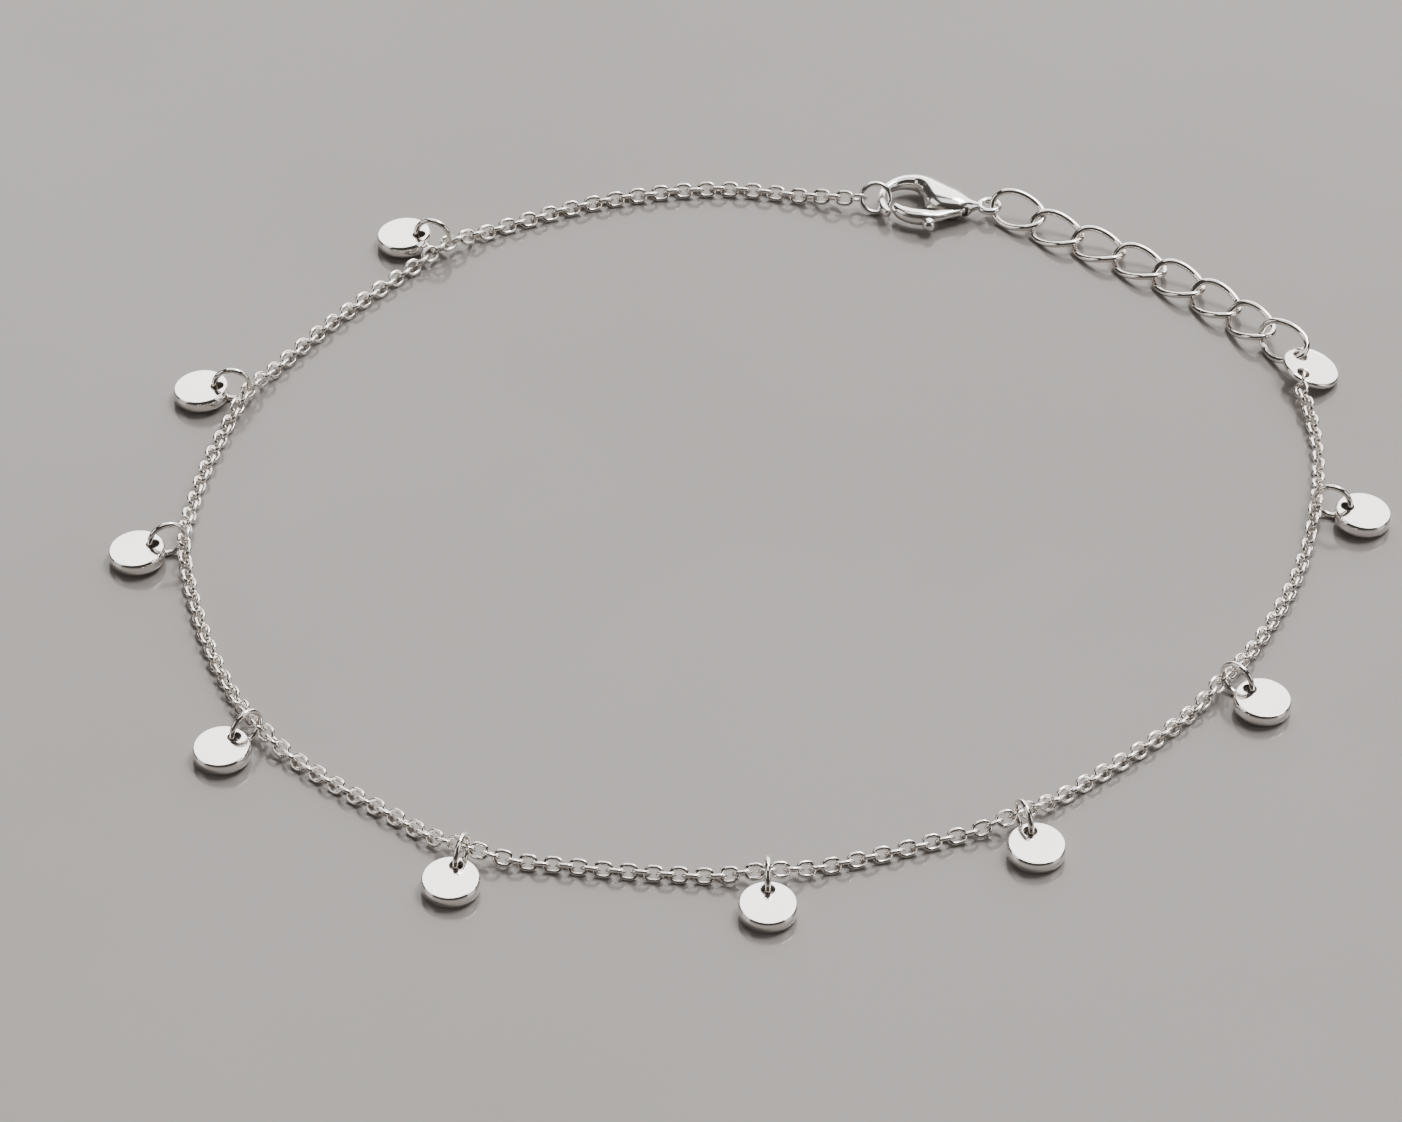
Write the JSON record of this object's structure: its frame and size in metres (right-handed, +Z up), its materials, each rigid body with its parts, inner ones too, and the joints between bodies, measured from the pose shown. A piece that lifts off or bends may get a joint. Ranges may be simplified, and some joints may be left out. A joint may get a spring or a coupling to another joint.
{
  "type": "charm anklet",
  "caption": "Fine cable chain anklet with plain round disc charms on jump rings, a lobster claw and an extension chain with a tag disc, lying as a closed loop.",
  "frame": {"origin": "on the table under the middle of the loop's outer box", "axes": "+Z up from the table the anklet lies on, +Y from the front charms towards the clasp, +X to the right seen from the front"},
  "size_m": [0.0894, 0.0828, 0.0029],
  "materials": {
    "polished_silver": "mirror polish",
    "drawn_silver": "polished drawn wire",
    "cast_silver": "tumbled casting",
    "lever_silver": "tumbled casting"
  },
  "bodies": {
    "anklet": {"charm_1": "polished_silver", "charm_2": "polished_silver", "charm_3": "polished_silver", "charm_4": "polished_silver", "charm_5": "polished_silver", "charm_6": "polished_silver", "charm_7": "polished_silver", "charm_8": "polished_silver", "charm_9": "polished_silver", "jump_ring_1": "drawn_silver", "jump_ring_2": "drawn_silver", "jump_ring_3": "drawn_silver", "jump_ring_4": "drawn_silver", "jump_ring_5": "drawn_silver", "jump_ring_6": "drawn_silver", "jump_ring_7": "drawn_silver", "jump_ring_8": "drawn_silver", "jump_ring_9": "drawn_silver", "extension_link_1": "drawn_silver", "extension_link_2": "drawn_silver", "extension_link_3": "drawn_silver", "extension_link_4": "drawn_silver", "extension_link_5": "drawn_silver", "extension_link_6": "drawn_silver", "extension_link_7": "drawn_silver", "extension_link_8": "drawn_silver", "fine_chain": "drawn_silver", "chain_link_at_clasp": "drawn_silver", "chain_link_at_tag": "drawn_silver", "tag_disc": "drawn_silver", "clasp_body": "cast_silver", "end_ring": "cast_silver"},
    "lever": {"clasp_lever": "lever_silver"}
  },
  "joints": [
    {"name": "lever_hinge", "type": "hinge", "parent": "anklet", "child": "lever", "pos_m": [0.01504, 0.03757, 0.0009], "axis": [0, 0, -1], "range_deg": [0, 18], "stiffness_Nm_per_rad": 0.002, "springref_deg": -8.59}
  ]
}
